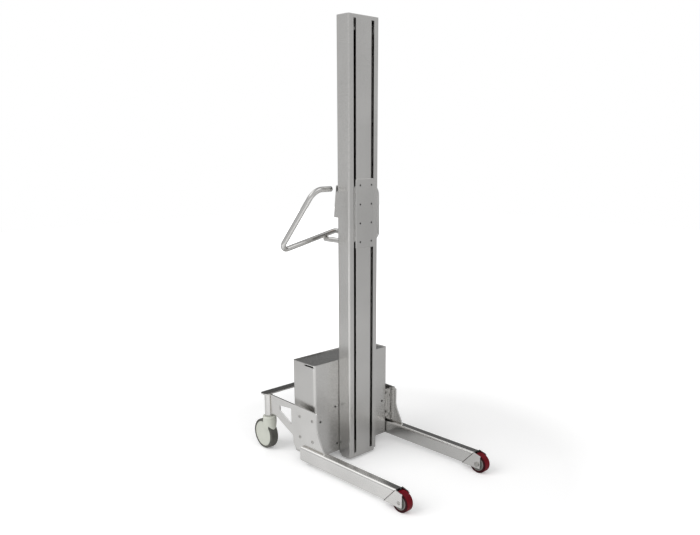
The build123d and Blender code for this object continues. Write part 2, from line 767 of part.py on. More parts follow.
# Load rollers: a soft tread on a hub, turning on a bolt through the nose plates
load_y = mast_front - load_axle_ahead
with BuildPart() as load_tread:
    with BuildSketch(Plane.YZ.offset(-leg_centre)):
        with Locations((load_y, load_roller / 2)):
            Circle(load_roller / 2)
            Circle(load_hub / 2, mode=Mode.SUBTRACT)
    extrude(amount=load_roller_width / 2, both=True)
    fillet(load_tread.edges().filter_by(GeomType.CIRCLE).sort_by(SortBy.RADIUS)[-2:], 3)
write_pair(load_tread, "load_roller_tread")

with BuildPart() as load_core:
    with BuildSketch(Plane.YZ.offset(-leg_centre)):
        with Locations((load_y, load_roller / 2)):
            Circle(load_hub / 2)
    extrude(amount=load_roller_width / 2, both=True)
    for face_side in (-1, 1):
        with BuildSketch(Plane.YZ.offset(-leg_centre + face_side * load_roller_width / 2)):
            with Locations((load_y, load_roller / 2)):
                Circle(load_hub / 2 - 4)
                Circle(load_hub / 4, mode=Mode.SUBTRACT)
        extrude(amount=-face_side * 4, mode=Mode.SUBTRACT)
    with BuildSketch(Plane.YZ.offset(-leg_centre)):
        with Locations((load_y, load_roller / 2)):
            Circle(load_hub / 4)
    extrude(amount=leg_width / 2 - leg_wall - guide_gap, both=True)
    with BuildSketch(Plane.YZ.offset(-leg_centre)):
        with Locations((load_y, load_roller / 2)):
            Circle(load_bolt / 2 + running_clearance)
    extrude(amount=load_roller_width, both=True, mode=Mode.SUBTRACT)
write_pair(load_core, "load_roller_hub")

with BuildPart() as load_axle:
    with BuildSketch(Plane.YZ.offset(-leg_centre - leg_width / 2)):
        with Locations((load_y, load_roller / 2)):
            Circle(load_bolt / 2)
    extrude(amount=leg_width)
    with BuildSketch(Plane.YZ.offset(-leg_centre - leg_width / 2)):
        with Locations((load_y, load_roller / 2)):
            Circle(load_bolt * 0.6)
    extrude(amount=-1.5)
    fillet(load_axle.faces().sort_by(Axis.X)[0].edges(), 0.8)
    with BuildSketch(Plane.YZ.offset(-leg_centre + leg_width / 2)):
        with Locations((load_y, load_roller / 2)):
            RegularPolygon(load_bolt * 0.9, 6)
    extrude(amount=5)
with BuildPart() as load_axles:
    add(load_axle.part)
    add(mirror(load_axle.part, about=Plane.YZ))
write_piece(load_axles, "load_roller_axles")

# Rear crossbar, a flat bar on the two stems
with BuildPart() as crossbar:
    with BuildSketch(Plane.XY.offset(bar_z)):
        with Locations((0, stem_y)):
            RectangleRounded(bar_length, bar_width, 12)
    extrude(amount=bar_thickness)
write_piece(crossbar, "rear_crossbar")

with BuildPart() as stem:
    with BuildSketch(Plane.XY.offset(stem_base)):
        with Locations((-leg_centre, stem_y)):
            Circle(stem_diameter / 2)
            Circle(stem_diameter / 2 - stem_wall, mode=Mode.SUBTRACT)
    extrude(amount=bar_z - stem_base)
write_pair(stem, "stem_tube")

# Castor fitting: a plug in the stem, a collar under it and the pin that the castor swivels on
pin_base = castor_wheel / 2 + sqrt((castor_wheel / 2 + 4) ** 2 - castor_trail**2)
hood_top = stem_base - collar_height - guide_gap
with BuildPart() as fitting:
    with BuildSketch(Plane.XY.offset(stem_base)):
        with Locations((-leg_centre, stem_y)):
            Circle(stem_diameter / 2 - stem_wall - 0.1)
    extrude(amount=40)
    with BuildSketch(Plane.XY.offset(stem_base)):
        with Locations((-leg_centre, stem_y)):
            Circle(collar_radius)
    extrude(amount=-collar_height)
    fillet(fitting.edges().filter_by(GeomType.CIRCLE).sort_by(SortBy.RADIUS)[-2:], collar_height / 3)
    with BuildSketch(Plane.XY.offset(stem_base - collar_height)):
        with Locations((-leg_centre, stem_y)):
            Circle(castor_pin / 2)
    extrude(amount=-(stem_base - collar_height - pin_base))
write_pair(fitting, "castor_fitting")

# Castor planes: the wheel's middle plane, and the plane across it that holds the axle
trail_x = sin(radians(castor_angle))
trail_y = cos(radians(castor_angle))
wheel_centre = (-leg_centre + castor_trail * trail_x, stem_y + castor_trail * trail_y, castor_wheel / 2)
wheel_plane = Plane(origin=wheel_centre, x_dir=(trail_x, trail_y, 0), z_dir=(trail_y, -trail_x, 0))
hood_plane = Plane(origin=(-leg_centre, stem_y, castor_hood_base), x_dir=(trail_x, trail_y, 0), z_dir=(0, 0, 1))
core_pocket = castor_core / 2 + castor_side_gap
rim_pocket = castor_tread / 2 + castor_side_gap
rim_inside = castor_cheek + castor_side_gap
cheek_half = core_pocket + castor_cheek_wall
hood_height = hood_top - castor_hood_base

# Castor housing: a round hood over the pin, flattened towards a closed cheek each side of the wheel
with BuildPart() as castor_housing:
    with BuildSketch(wheel_plane):
        Circle(castor_cheek)
    extrude(amount=cheek_half, both=True)
    fillet(castor_housing.edges().filter_by(GeomType.CIRCLE), castor_cheek_wall / 2)
    with BuildSketch(hood_plane):
        with Locations((-castor_column_shift, 0)):
            Ellipse(castor_column, rim_pocket + castor_cheek_wall)
    with BuildSketch(hood_plane.offset(castor_hood_flare)):
        with Locations((-castor_column_shift, 0)):
            Circle(castor_column)
    loft()
    with BuildSketch(hood_plane.offset(castor_hood_flare)):
        with Locations((-castor_column_shift, 0)):
            Circle(castor_column)
    extrude(amount=hood_height - castor_hood_flare)
    fillet(castor_housing.edges().group_by(Axis.Z)[-1], castor_cheek_wall)
    with BuildSketch(hood_plane.offset(hood_height - castor_groove_drop)):
        with Locations((-castor_column_shift, 0)):
            Circle(castor_column + castor_groove)
            Circle(castor_column - castor_groove, mode=Mode.SUBTRACT)
    extrude(amount=-castor_groove, mode=Mode.SUBTRACT)
    with BuildSketch(wheel_plane):
        Circle(castor_wheel / 2 + 2)
    extrude(amount=core_pocket, both=True, mode=Mode.SUBTRACT)
    with BuildSketch(wheel_plane):
        Circle(castor_wheel / 2 + 2)
        Circle(castor_cheek, mode=Mode.SUBTRACT)
    extrude(amount=rim_pocket, both=True, mode=Mode.SUBTRACT)
    with BuildSketch(wheel_plane):
        Circle(castor_axle / 2)
    extrude(amount=cheek_half - 1, both=True, mode=Mode.SUBTRACT)
    with BuildSketch(hood_plane.offset(hood_height)):
        Circle(castor_pin / 2 + running_clearance)
    extrude(amount=-hood_height / 2, mode=Mode.SUBTRACT)
write_pair(castor_housing, "castor_housing")

# Tyre: a broad rim that laps over the cheeks' edges, on a narrower foot that grips the hub
with BuildPart() as castor_tyre:
    with BuildSketch(wheel_plane):
        Circle(castor_wheel / 2)
        Circle(rim_inside, mode=Mode.SUBTRACT)
    extrude(amount=castor_tread / 2, both=True)
    fillet(castor_tyre.edges().filter_by(GeomType.CIRCLE).sort_by(SortBy.RADIUS)[-2:], 7)
    with BuildSketch(wheel_plane):
        Circle(rim_inside)
        Circle(castor_hub / 2, mode=Mode.SUBTRACT)
    extrude(amount=castor_core / 2, both=True)
write_pair(castor_tyre, "castor_tyre")

with BuildPart() as castor_hub_body:
    with BuildSketch(wheel_plane):
        Circle(castor_hub / 2)
    extrude(amount=castor_core / 2, both=True)
    with BuildSketch(wheel_plane):
        Circle(castor_axle)
    extrude(amount=core_pocket - guide_gap, both=True)
    with BuildSketch(wheel_plane):
        Circle(castor_axle / 2 + running_clearance)
    extrude(amount=castor_core, both=True, mode=Mode.SUBTRACT)
write_pair(castor_hub_body, "castor_hub")

with BuildPart() as castor_spindle:
    with BuildSketch(wheel_plane):
        Circle(castor_axle / 2)
    extrude(amount=cheek_half - 1, both=True)
write_pair(castor_spindle, "castor_axle")

# Push handle, one bent tube in a plane that leans back as it goes down
handle_slope = radians(handle_tilt)
handle_plane = Plane(
    origin=(0, mast_back + handle_top_behind, handle_top_z),
    x_dir=(1, 0, 0),
    z_dir=(0, -cos(handle_slope), -sin(handle_slope)),
)
lower_reach = (handle_lower_z - handle_top_z) / cos(handle_slope)
middle_reach = (handle_middle_z - handle_top_z) / cos(handle_slope)
with BuildPart() as handle:
    with BuildLine(handle_plane) as handle_path:
        FilletPolyline(
            (-handle_gap, 0),
            (-handle_upper, 0),
            (-handle_lower, lower_reach),
            (0, middle_reach),
            (handle_lower, lower_reach),
            (handle_upper, 0),
            (handle_gap, 0),
            radius=[55, 20, 40, 20, 55],
        )
    with BuildSketch(Plane(handle_path.wire() @ 0, z_dir=handle_path.wire() % 0)):
        Circle(handle_tube_diameter / 2)
        Circle(handle_tube_diameter / 2 - 2, mode=Mode.SUBTRACT)
    sweep(path=handle_path.wire())
write_piece(handle, "handle_tube")

# Plugs in the handle's open ends
with BuildPart() as handle_plugs:
    for side in (-1, 1):
        with BuildSketch(Plane.YZ.offset(side * handle_gap)):
            with Locations((mast_back + handle_top_behind, handle_top_z)):
                Circle(handle_tube_diameter / 2)
        extrude(amount=-side * 3)
        with BuildSketch(Plane.YZ.offset(side * handle_gap)):
            with Locations((mast_back + handle_top_behind, handle_top_z)):
                Circle(handle_tube_diameter / 2 - 2.1)
        extrude(amount=side * 12)
write_piece(handle_plugs, "handle_plugs")

# Handle bracket: a plate on the mast's back with two round-ended arms coped to the handle's underside
arm_reach = handle_top_behind + (handle_top_z - run_z) * tan(handle_slope)
with BuildPart() as handle_bracket:
    with BuildSketch(Plane.XZ.offset(-mast_back)):
        with Locations((0, arm_z)):
            RectangleRounded(
                handle_arm_spacing + 1.6 * handle_tube_diameter, 2.8 * handle_tube_diameter, 2 * handle_bracket_wall
            )
        with Locations(*bracket_screw_places):
            Circle((bracket_screw + bolt_clearance) / 2, mode=Mode.SUBTRACT)
    extrude(amount=-handle_bracket_wall)
    with BuildSketch(Plane.XZ.offset(-mast_back - handle_bracket_wall)):
        with Locations((-handle_arm_spacing / 2, arm_z), (handle_arm_spacing / 2, arm_z)):
            Circle(handle_arm_diameter / 2)
    extrude(amount=-(arm_reach - handle_bracket_wall))
    for side in (-1, 1):
        with Locations((side * handle_arm_spacing / 2, mast_back + arm_reach, arm_z)):
            Sphere(handle_arm_diameter / 2)
    with BuildSketch(Plane(handle_path.wire() @ 0, z_dir=handle_path.wire() % 0)):
        Circle(handle_tube_diameter / 2)
    sweep(path=handle_path.wire(), mode=Mode.SUBTRACT)
write_piece(handle_bracket, "handle_bracket")

# Control box: a wedge on the mast's back, hollow towards it, with a bore for each control
control_middle_z = (control_low_z + control_high_z) / 2
control_middle_depth = (control_low_depth + control_high_depth) / 2
control_face = Plane(
    origin=(0, mast_back + control_middle_depth, control_middle_z),
    x_dir=(-1, 0, 0),
    z_dir=(0, cos(radians(control_tilt)), sin(radians(control_tilt))),
)
button_x = 30.0
button_up = (button_x, 22.0)
button_down = (button_x, -10.0)
stop_place = (-button_x, 4.0)
stop_stem = 14.0
bore_clearance = 0.3
control_slope = radians(control_tilt)
inner_low_depth = control_low_depth - control_wall * (1 / cos(control_slope) + tan(control_slope))
inner_high_depth = control_high_depth - control_wall * (1 / cos(control_slope) - tan(control_slope))
with BuildPart() as control_box:
    with BuildSketch(Plane.YZ.offset(-control_half)) as wedge:
        with BuildLine():
            Polyline(
                (mast_back, control_low_z),
                (mast_back + control_low_depth, control_low_z),
                (mast_back + control_high_depth, control_high_z),
                (mast_back, control_high_z),
                close=True,
            )
        make_face()
    extrude(amount=2 * control_half)
    fillet(control_box.faces().sort_by(Axis.Y)[-1].edges(), 8)
    with BuildSketch(Plane.YZ.offset(control_wall - control_half)):
        with BuildLine():
            Polyline(
                (mast_back, control_low_z + control_wall),
                (mast_back + inner_low_depth, control_low_z + control_wall),
                (mast_back + inner_high_depth, control_high_z - control_wall),
                (mast_back, control_high_z - control_wall),
                close=True,
            )
        make_face()
    extrude(amount=2 * (control_half - control_wall), mode=Mode.SUBTRACT)
    with BuildSketch(control_face):
        with Locations(button_up, button_down):
            Circle(button_diameter / 2 + bore_clearance)
        with Locations(stop_place):
            Circle(stop_stem / 2 + bore_clearance)
    extrude(amount=-control_low_depth, mode=Mode.SUBTRACT)
write_piece(control_box, "control_box")

# Push buttons, held in by a flange behind the wall
button_proud = 3.5
flange_width = 2.5
for place, label in ((button_up, "lift_button"), (button_down, "lower_button")):
    with BuildPart() as button:
        with BuildSketch(control_face.offset(button_proud)):
            with Locations(place):
                Circle(button_diameter / 2)
        extrude(amount=-button_proud - control_wall - 3)
        fillet(button.faces().sort_by(Axis.Y)[-1].edges(), 1.5)
        with BuildSketch(control_face.offset(-control_wall - 0.1)):
            with Locations(place):
                Circle(button_diameter / 2 + flange_width)
        extrude(amount=-2)
    write_piece(button, label)

# Stop button with a mushroom head
with BuildPart() as stop_button:
    with BuildSketch(control_face.offset(stop_travel + 0.5)):
        with Locations(stop_place):
            Circle(stop_diameter / 2)
    extrude(amount=9)
    fillet(stop_button.faces().sort_by(Axis.Y)[-1].edges(), 4)
    with BuildSketch(control_face.offset(stop_travel + 0.5)):
        with Locations(stop_place):
            Circle(stop_stem / 2)
    extrude(amount=-stop_travel - 0.5 - control_wall - 3)
    with BuildSketch(control_face.offset(-control_wall - 0.1)):
        with Locations(stop_place):
            Circle(stop_stem / 2 + flange_width)
    extrude(amount=-2)
write_piece(stop_button, "stop_button")

# Bolts that clamp the side plates, hangers and housing together
plate_bolt = flange_bolt(chassis_bolt, plate_wall + bracket_wall, 13, 2.5, 6.5)
hanger_bolt = flange_bolt(chassis_bolt, housing_wall + bracket_wall, 16, 4.5, 6.5)
with BuildPart() as chassis_bolts:
    for side in (-1, 1):
        for y, z in plate_bolt_places:
            with Locations(Plane(origin=(side * plate_outer, y, z), z_dir=(side, 0, 0))):
                add(plate_bolt)
        for y, z in hanger_bolt_places:
            inner_face = housing_width / 2 - housing_wall
            with Locations(Plane(origin=(side * inner_face, y, z), z_dir=(-side, 0, 0))):
                add(hanger_bolt)
write_piece(chassis_bolts, "chassis_bolts")

# Bolts through the mast's back into the housing, and screws of the handle bracket
mast_bolt_shape = flange_bolt(mast_bolt, mast_wall + housing_wall, 14, 4.4, 6.5)
bracket_screw_shape = flange_bolt(bracket_screw, mast_wall + handle_bracket_wall, 11, 3.3, 5)
with BuildPart() as mast_bolts:
    for x, z in mast_bolt_places:
        with Locations(Plane(origin=(x, mast_inner_back, z), z_dir=(0, -1, 0))):
            add(mast_bolt_shape)
    for x, z in bracket_screw_places:
        with Locations(Plane(origin=(x, mast_back + handle_bracket_wall, z), z_dir=(0, 1, 0))):
            add(bracket_screw_shape)
write_piece(mast_bolts, "mast_bolts")

# Small screw heads on the housing's front
screw_head = flange_bolt(cover_screw, housing_wall, 9.5, 2.7, 0)
with BuildPart() as housing_screws:
    for side in (-1, 1):
        for x, z in front_screw_places:
            with Locations(Plane(origin=(side * x, housing_front, z), z_dir=(0, -1, 0))):
                add(screw_head)
write_piece(housing_screws, "housing_screws")
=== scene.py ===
import bpy
import bmesh
import json
from math import cos, pi, radians, sin, tau
from mathutils import Matrix, Vector

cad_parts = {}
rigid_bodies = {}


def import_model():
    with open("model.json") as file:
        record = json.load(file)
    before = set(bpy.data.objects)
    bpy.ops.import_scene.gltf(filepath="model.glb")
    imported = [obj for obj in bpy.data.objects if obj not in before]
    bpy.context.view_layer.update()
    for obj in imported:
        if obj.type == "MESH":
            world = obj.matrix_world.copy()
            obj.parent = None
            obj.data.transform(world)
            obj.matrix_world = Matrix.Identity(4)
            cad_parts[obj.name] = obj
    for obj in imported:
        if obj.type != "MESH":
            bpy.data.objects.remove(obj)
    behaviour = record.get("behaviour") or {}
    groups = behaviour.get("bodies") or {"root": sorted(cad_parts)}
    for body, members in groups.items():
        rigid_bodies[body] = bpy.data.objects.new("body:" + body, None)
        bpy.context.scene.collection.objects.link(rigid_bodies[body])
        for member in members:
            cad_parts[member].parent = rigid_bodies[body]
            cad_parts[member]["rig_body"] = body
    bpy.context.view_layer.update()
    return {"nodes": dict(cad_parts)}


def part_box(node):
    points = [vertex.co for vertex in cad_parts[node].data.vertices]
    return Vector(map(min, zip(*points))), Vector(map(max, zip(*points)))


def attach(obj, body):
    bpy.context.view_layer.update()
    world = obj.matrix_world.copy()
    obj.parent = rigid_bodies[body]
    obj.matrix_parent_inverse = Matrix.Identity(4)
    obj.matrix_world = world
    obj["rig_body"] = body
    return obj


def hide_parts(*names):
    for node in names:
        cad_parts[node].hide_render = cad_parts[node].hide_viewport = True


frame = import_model()
nodes = frame["nodes"]
print("frame loaded:", len(nodes), "nodes")

mm = 0.001


# Colours are written as sRGB hex and shaded as linear
def hexToLinear(code):
    values = []
    for i in (0, 2, 4):
        c = int(code[i:i + 2], 16) / 255
        values.append(c / 12.92 if c <= 0.04045 else ((c + 0.055) / 1.055) ** 2.4)
    return (values[0], values[1], values[2], 1.0)


# Adds a node with its settings, then joins the given sockets to it
def addNode(tree, kind, settings=None, links=None):
    node = tree.nodes.new("ShaderNode" + kind)
    for key, value in (settings or {}).items():
        if isinstance(key, int) or key in node.inputs:
            node.inputs[key].default_value = value
        else:
            setattr(node, key, value)
    for key, source in (links or {}).items():
        tree.links.new(source, node.inputs[key])
    return node


def newMaterial(name):
    material = bpy.data.materials.new(name)
    material.use_nodes = True
    material.node_tree.nodes.clear()
    return material, material.node_tree


def finishMaterial(tree, shader):
    output = addNode(tree, "OutputMaterial")
    tree.links.new(shader.outputs[0], output.inputs["Surface"])


# Grain size in millimetres turned into the scale of a noise over object space in metres
def perMetre(sizeInMm):
    return 1000.0 / sizeInMm


# What each family of finish shares: the detail of its fine grain and of its slow clouds, the cloud levels at which
# the colour is fully dark and fully pale, and which of the two noises wears the gloss, between which of its levels
metals = {"grain": {"Detail": 3.0, "Roughness": 0.6}, "cloud": {"Detail": 2.0, "Roughness": 0.5},
          "tones": (0.3, 0.72), "wornBy": "grain", "wornLevels": (0.35, 0.65)}
plastics = {"grain": {"Detail": 2.0, "Roughness": 0.55}, "cloud": {"Detail": 3.0, "Roughness": 0.5},
            "tones": (0.32, 0.7), "wornBy": "cloud", "wornLevels": (0.3, 0.7)}


# Makes a finish. A small number in its stroke draws the grain long that way, and its painted side light colours the
# faces that look to the left or right, a painted highlight on some finishes and painted shade on others. Real
# blasting, belt strokes and moulding grain are a tenth of a millimetre or so wide and wouldn't show, so each grain
# here is drawn coarser, 0.6 to 2.5 mm wide.
def makeFinish(name, family, look):
    material, tree = newMaterial(name)
    spots = addNode(tree, "TexCoord")
    place = grainPlace = spots.outputs["Object"]
    if "stroke" in look:
        grainPlace = addNode(tree, "Mapping", {"Scale": look["stroke"]}, {"Vector": place}).outputs[0]
    noises = {
        "grain": addNode(tree, "TexNoise", {"Scale": perMetre(look["grainMm"]), **family["grain"]},
                         {"Vector": grainPlace}),
        "cloud": addNode(tree, "TexNoise", {"Scale": perMetre(look["cloudMm"]), **family["cloud"]},
                         {"Vector": place}),
    }
    colour = addNode(tree, "ValToRGB", None, {"Fac": noises["cloud"].outputs["Fac"]})
    for element, level, tone in zip(colour.color_ramp.elements, family["tones"], (look["dark"], look["pale"])):
        element.position = level
        element.color = hexToLinear(tone)
    base = colour.outputs["Color"]
    # Painted light: faces that look to the left or right take a fixed tone in place of the light or shade they would
    # get
    if "paintedSideLight" in look:
        facing = addNode(tree, "SeparateXYZ", None, {0: spots.outputs["Normal"]}).outputs["X"]
        sideways = addNode(tree, "Math", {"operation": "ABSOLUTE"}, {0: facing}).outputs[0]
        paintedSideShare = addNode(tree, "MapRange", {"From Min": look["sideFrom"], "From Max": look["sideFull"]},
                         {"Value": sideways}).outputs["Result"]
        base = addNode(tree, "Mix", {"data_type": "RGBA", 7: hexToLinear(look["paintedSideLight"])},
                       {0: paintedSideShare, 6: base}).outputs[2]
    lowest, highest = family["wornLevels"]
    wear = addNode(tree, "MapRange", {"From Min": lowest, "From Max": highest,
                                      "To Min": look["roughness"] - look["roughnessSpread"],
                                      "To Max": look["roughness"] + look["roughnessSpread"]},
                   {"Value": noises[family["wornBy"]].outputs["Fac"]})
    bump = addNode(tree, "Bump", {"Strength": look["bump"], "Distance": look["bumpMm"] * mm},
                   {"Height": noises["grain"].outputs["Fac"]})
    if family is metals:
        body = {"Metallic": 1.0}
    else:
        body = {"IOR": look["ior"], "Specular IOR Level": look.get("gloss", 0.5)}
    shader = addNode(tree, "BsdfPrincipled", body,
                     {"Base Color": base, "Roughness": wear.outputs["Result"], "Normal": bump.outputs["Normal"]})
    finishMaterial(tree, shader)
    return material


# Folded sheet, bead blasted: an even silver grey with a soft broad gloss and no stroke direction
blastedStainless = makeFinish("blastedStainlessSheet", metals, {
    "grainMm": 1.6, "cloudMm": 160, "dark": "CECDCB", "pale": "D6D5D3",
    "roughness": 0.27, "roughnessSpread": 0.03, "bump": 0.05, "bumpMm": 0.05})
# Milled tool plate: the same blasted face, with its side faces painted near white as a highlight
milledStainlessPaintedEdges = makeFinish("milledStainlessPaintedEdgeHighlight", metals, {
    "grainMm": 1.6, "cloudMm": 160, "dark": "CBCAC8", "pale": "D3D2D0",
    "paintedSideLight": "FBFBFA", "sideFrom": 0.5, "sideFull": 0.75,
    "roughness": 0.25, "roughnessSpread": 0.03, "bump": 0.05, "bumpMm": 0.05})
# Legs and cut plates ground with a fine belt: a brighter grey with faint strokes from front to back
groundStainlessAlong = makeFinish("groundStainlessAlongY", metals, {
    "stroke": (1, 0.05, 1), "grainMm": 0.9, "cloudMm": 90, "dark": "DEDDDB", "pale": "E5E4E2",
    "roughness": 0.22, "roughnessSpread": 0.03, "bump": 0.03, "bumpMm": 0.04})
# Stems, rails and carriage ground upright: the same bright grey, its strokes up and down
groundStainlessUp = makeFinish("groundStainlessAlongZ", metals, {
    "stroke": (1, 1, 0.05), "grainMm": 0.9, "cloudMm": 90, "dark": "DEDDDB", "pale": "E5E4E2",
    "roughness": 0.22, "roughnessSpread": 0.03, "bump": 0.03, "bumpMm": 0.04})
# Handle and crossbar ground crosswise and buffed: a hard gloss that draws thin bright lines along the tube
groundStainlessAcross = makeFinish("groundStainlessAlongX", metals, {
    "stroke": (0.05, 1, 1), "grainMm": 0.9, "cloudMm": 90, "dark": "CDCCCA", "pale": "D6D5D3",
    "roughness": 0.1, "roughnessSpread": 0.02, "bump": 0.03, "bumpMm": 0.04})
# Bright zinc on turned fasteners: a neutral grey with a hard gloss
brightZinc = makeFinish("brightZincPlatedSteel", metals, {
    "grainMm": 0.7, "cloudMm": 8, "dark": "B2B1AE", "pale": "C6C5C2",
    "roughness": 0.26, "roughnessSpread": 0.05, "bump": 0.04, "bumpMm": 0.03})
# Cover screws blacked in hot oil, dark grey with a low gloss; the same dark finish lines the tool plate's holes as
# painted shade
blackedScrewsAndHoleShade = makeFinish("oilBlackedSteelAndPaintedHoleShade", metals, {
    "grainMm": 0.7, "cloudMm": 6, "dark": "4E4E4C", "pale": "6A6967",
    "roughness": 0.36, "roughnessSpread": 0.06, "bump": 0.05, "bumpMm": 0.03})
# Weld beads brushed clean, with a straw heat tint left in the ripples
weldMetal = makeFinish("brushedWeldBead", metals, {
    "grainMm": 1.1, "cloudMm": 5, "dark": "8F897F", "pale": "B7B3AC",
    "roughness": 0.33, "roughnessSpread": 0.07, "bump": 0.15, "bumpMm": 0.08})
# Weld at the nose, coloured dark as painted shade of the gap along the seam
noseSeamShadeWeld = makeFinish("weldBeadPaintedSeamShade", metals, {
    "grainMm": 1.1, "cloudMm": 5, "dark": "4A4743", "pale": "6A6660",
    "roughness": 0.42, "roughnessSpread": 0.07, "bump": 0.2, "bumpMm": 0.1})
# Turned contact pins: yellow, hard and bright
brass = makeFinish("turnedBrass", metals, {
    "grainMm": 0.6, "cloudMm": 6, "dark": "B9963F", "pale": "CDAA55",
    "roughness": 0.22, "roughnessSpread": 0.04, "bump": 0.04, "bumpMm": 0.03})
# Oiled chain and sprockets: dark steel with a wet gloss
oiledSteel = makeFinish("oiledChainSteel", metals, {
    "grainMm": 1.2, "cloudMm": 14, "dark": "4E4B48", "pale": "77736E",
    "roughness": 0.3, "roughnessSpread": 0.08, "bump": 0.08, "bumpMm": 0.05})

# Cast polyurethane tread: deep crimson, with painted shade on its flanks, the faces that look to the left or right
crimsonPolyurethane = makeFinish("castCrimsonPolyurethane", plastics, {
    "grainMm": 2.5, "cloudMm": 30, "dark": "5C0512", "pale": "700918",
    "paintedSideLight": "2E070C", "sideFrom": 0.45, "sideFull": 0.8,
    "roughness": 0.45, "roughnessSpread": 0.05, "bump": 0.08, "bumpMm": 0.06, "ior": 1.5, "gloss": 0.12})
# Injection-moulded nylon of the castor housings: warm pale grey, satin
greyNylon = makeFinish("mouldedPaleGreyNylon", plastics, {
    "grainMm": 1.0, "cloudMm": 60, "dark": "BFC1B7", "pale": "C9CBC1",
    "roughness": 0.45, "roughnessSpread": 0.04, "bump": 0.12, "bumpMm": 0.05, "ior": 1.53})
# Load roller hubs, moulded in a darker nylon: mid grey and satin beside the crimson
rollerNylon = makeFinish("mouldedRollerHubNylon", plastics, {
    "grainMm": 1.0, "cloudMm": 30, "dark": "6C6D69", "pale": "7B7C78",
    "roughness": 0.45, "roughnessSpread": 0.05, "bump": 0.12, "bumpMm": 0.05, "ior": 1.53})
# Castor hubs, moulded nylon: light grey and satin, between housing and tyre in tone
hubNylon = makeFinish("mouldedHubNylon", plastics, {
    "grainMm": 1.0, "cloudMm": 30, "dark": "8E908C", "pale": "9C9E9A",
    "roughness": 0.45, "roughnessSpread": 0.05, "bump": 0.12, "bumpMm": 0.05, "ior": 1.53})
# Thermoplastic rubber tyre: mid grey, dry and matt
greyRubber = makeFinish("mouldedGreyRubber", plastics, {
    "grainMm": 1.4, "cloudMm": 25, "dark": "4C4C47", "pale": "5B5B55",
    "roughness": 0.62, "roughnessSpread": 0.07, "bump": 0.2, "bumpMm": 0.08, "ior": 1.5})
# Moulded black polyamide of plugs, bezels and cases: near black, with a dull even sheen
blackPolyamide = makeFinish("mouldedBlackPolyamide", plastics, {
    "grainMm": 0.8, "cloudMm": 20, "dark": "161617", "pale": "232324",
    "roughness": 0.45, "roughnessSpread": 0.06, "bump": 0.15, "bumpMm": 0.05, "ior": 1.53})
# Guide rollers turned from natural nylon: off-white, slightly waxy
whiteNylon = makeFinish("turnedNaturalNylon", plastics, {
    "grainMm": 1.2, "cloudMm": 30, "dark": "D6D4CA", "pale": "E2E0D8",
    "roughness": 0.4, "roughnessSpread": 0.05, "bump": 0.08, "bumpMm": 0.04, "ior": 1.53})
# Motor case, sand cast and painted: blue-black, with the sand's grain showing through the paint
castMotor = makeFinish("sandCastMotorCase", plastics, {
    "grainMm": 1.5, "cloudMm": 25, "dark": "2E3133", "pale": "3C4043",
    "roughness": 0.55, "roughnessSpread": 0.08, "bump": 0.4, "bumpMm": 0.2, "ior": 1.5})
# Push buttons and collar, moulded acetal: strong clean colours with a smooth, slippery gloss
greenAcetal = makeFinish("mouldedGreenAcetal", plastics, {
    "grainMm": 0.8, "cloudMm": 12, "dark": "12632A", "pale": "187335",
    "roughness": 0.35, "roughnessSpread": 0.05, "bump": 0.05, "bumpMm": 0.04, "ior": 1.48})
blueAcetal = makeFinish("mouldedBlueAcetal", plastics, {
    "grainMm": 0.8, "cloudMm": 12, "dark": "173D85", "pale": "1E4A9C",
    "roughness": 0.35, "roughnessSpread": 0.05, "bump": 0.05, "bumpMm": 0.04, "ior": 1.48})
redAcetal = makeFinish("mouldedRedAcetal", plastics, {
    "grainMm": 0.8, "cloudMm": 12, "dark": "A81712", "pale": "BD1E18",
    "roughness": 0.33, "roughnessSpread": 0.05, "bump": 0.05, "bumpMm": 0.04, "ior": 1.48})
yellowAcetal = makeFinish("mouldedYellowAcetal", plastics, {
    "grainMm": 0.8, "cloudMm": 12, "dark": "D9A90E", "pale": "E6B91C",
    "roughness": 0.36, "roughnessSpread": 0.05, "bump": 0.05, "bumpMm": 0.04, "ior": 1.48})
print("materials made:", len(bpy.data.materials))

# Which finish each CAD node takes
nodeFinish = {
    milledStainlessPaintedEdges: ["tool_plate"],
    blastedStainless: ["mast_shell", "mast_cover_strip", "mast_top_cap", "mast_foot", "housing_shell", "housing_lid",
                       "control_box"],
    groundStainlessUp: ["carriage_truck", "chain_anchor", "idler_axle", "guide_rail_left",
                        "guide_rail_right", "stem_tube_left", "stem_tube_right"],
    groundStainlessAlong: ["side_plate_left", "side_plate_right", "leg_tube_left", "leg_tube_right",
                           "nose_plates_left", "nose_plates_right", "hanger_brackets"],
    groundStainlessAcross: ["rear_crossbar", "handle_tube", "handle_bracket"],
    brightZinc: ["carriage_roller_washers", "drive_shaft", "load_roller_axles", "chassis_bolts", "mast_bolts",
                 "housing_screws", "castor_fitting_left", "castor_fitting_right", "castor_axle_left",
                 "castor_axle_right"],
    oiledSteel: ["lifting_chain", "drive_sprocket", "idler_sprocket"],
    crimsonPolyurethane: ["load_roller_tread_left", "load_roller_tread_right"],
    greyNylon: ["castor_housing_left", "castor_housing_right"],
    rollerNylon: ["load_roller_hub_left", "load_roller_hub_right"],
    hubNylon: ["castor_hub_left", "castor_hub_right"],
    greyRubber: ["castor_tyre_left", "castor_tyre_right"],
    blackPolyamide: ["batteries", "motor_controller", "charging_inlet", "handle_plugs"],
    whiteNylon: ["guide_roller_upper_left", "guide_roller_upper_right", "guide_roller_lower_left",
                 "guide_roller_lower_right"],
    castMotor: ["gear_motor"],
    greenAcetal: ["lift_button"],
    blueAcetal: ["lower_button"],
    redAcetal: ["stop_button"],
}
for finish, names in nodeFinish.items():
    for name in names:
        mesh = nodes[name].data
        mesh.materials.clear()
        mesh.materials.append(finish)
print("nodes without a finish:", sorted(set(nodes).difference(*nodeFinish.values())))

crispAngle = radians(35)  # edges that turn by more than this stay crisp


